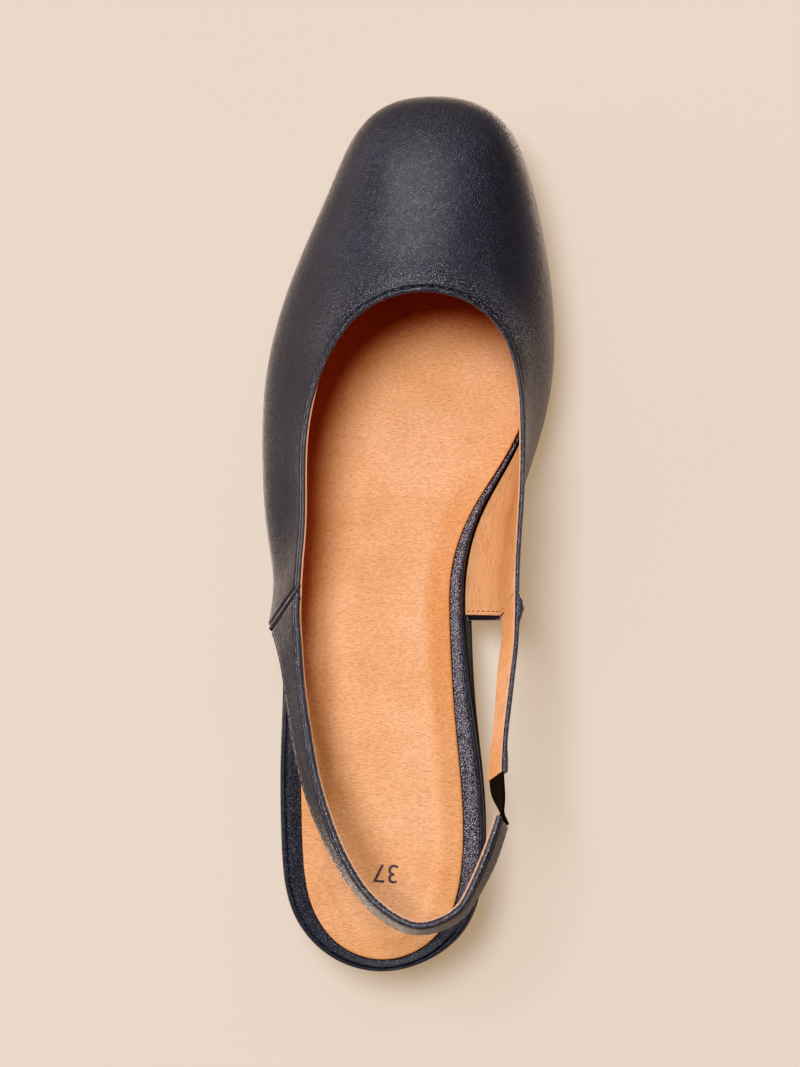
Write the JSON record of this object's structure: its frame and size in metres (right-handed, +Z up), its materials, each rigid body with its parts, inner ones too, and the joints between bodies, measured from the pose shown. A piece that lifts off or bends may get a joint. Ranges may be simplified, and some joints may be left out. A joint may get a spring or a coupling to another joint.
{
  "type": "sling back flat shoe",
  "caption": "Left low-heeled leather flat with a rounded toe, an open back and waist, and a narrow strap round the heel joined by a short elastic.",
  "frame": {"origin": "centre of the shoe's box on the floor it stands on", "axes": "+Y from the heel to the toe, +Z up, +X to the inner side of the foot"},
  "size_m": [0.0832, 0.2524, 0.061],
  "materials": {
    "upper_leather": "smooth, semi-matt",
    "rim_leather": "smooth, semi-matt",
    "strap_leather": "smooth, semi-matt",
    "tan_leather": "fine open grain, matt",
    "sole_leather": "waxed edge, matt",
    "heel_leather": "smooth, semi-matt",
    "top_piece_rubber": "matt",
    "elastic": "woven, matt"
  },
  "bodies": {
    "root": {"upper": "upper_leather", "insole": "rim_leather", "sock": "tan_leather", "outsole": "sole_leather", "heel": "heel_leather", "heel_top_piece": "top_piece_rubber", "strap_rear": "strap_leather", "strap_inner": "strap_leather", "strap_elastic": "elastic"}
  },
  "joints": []
}
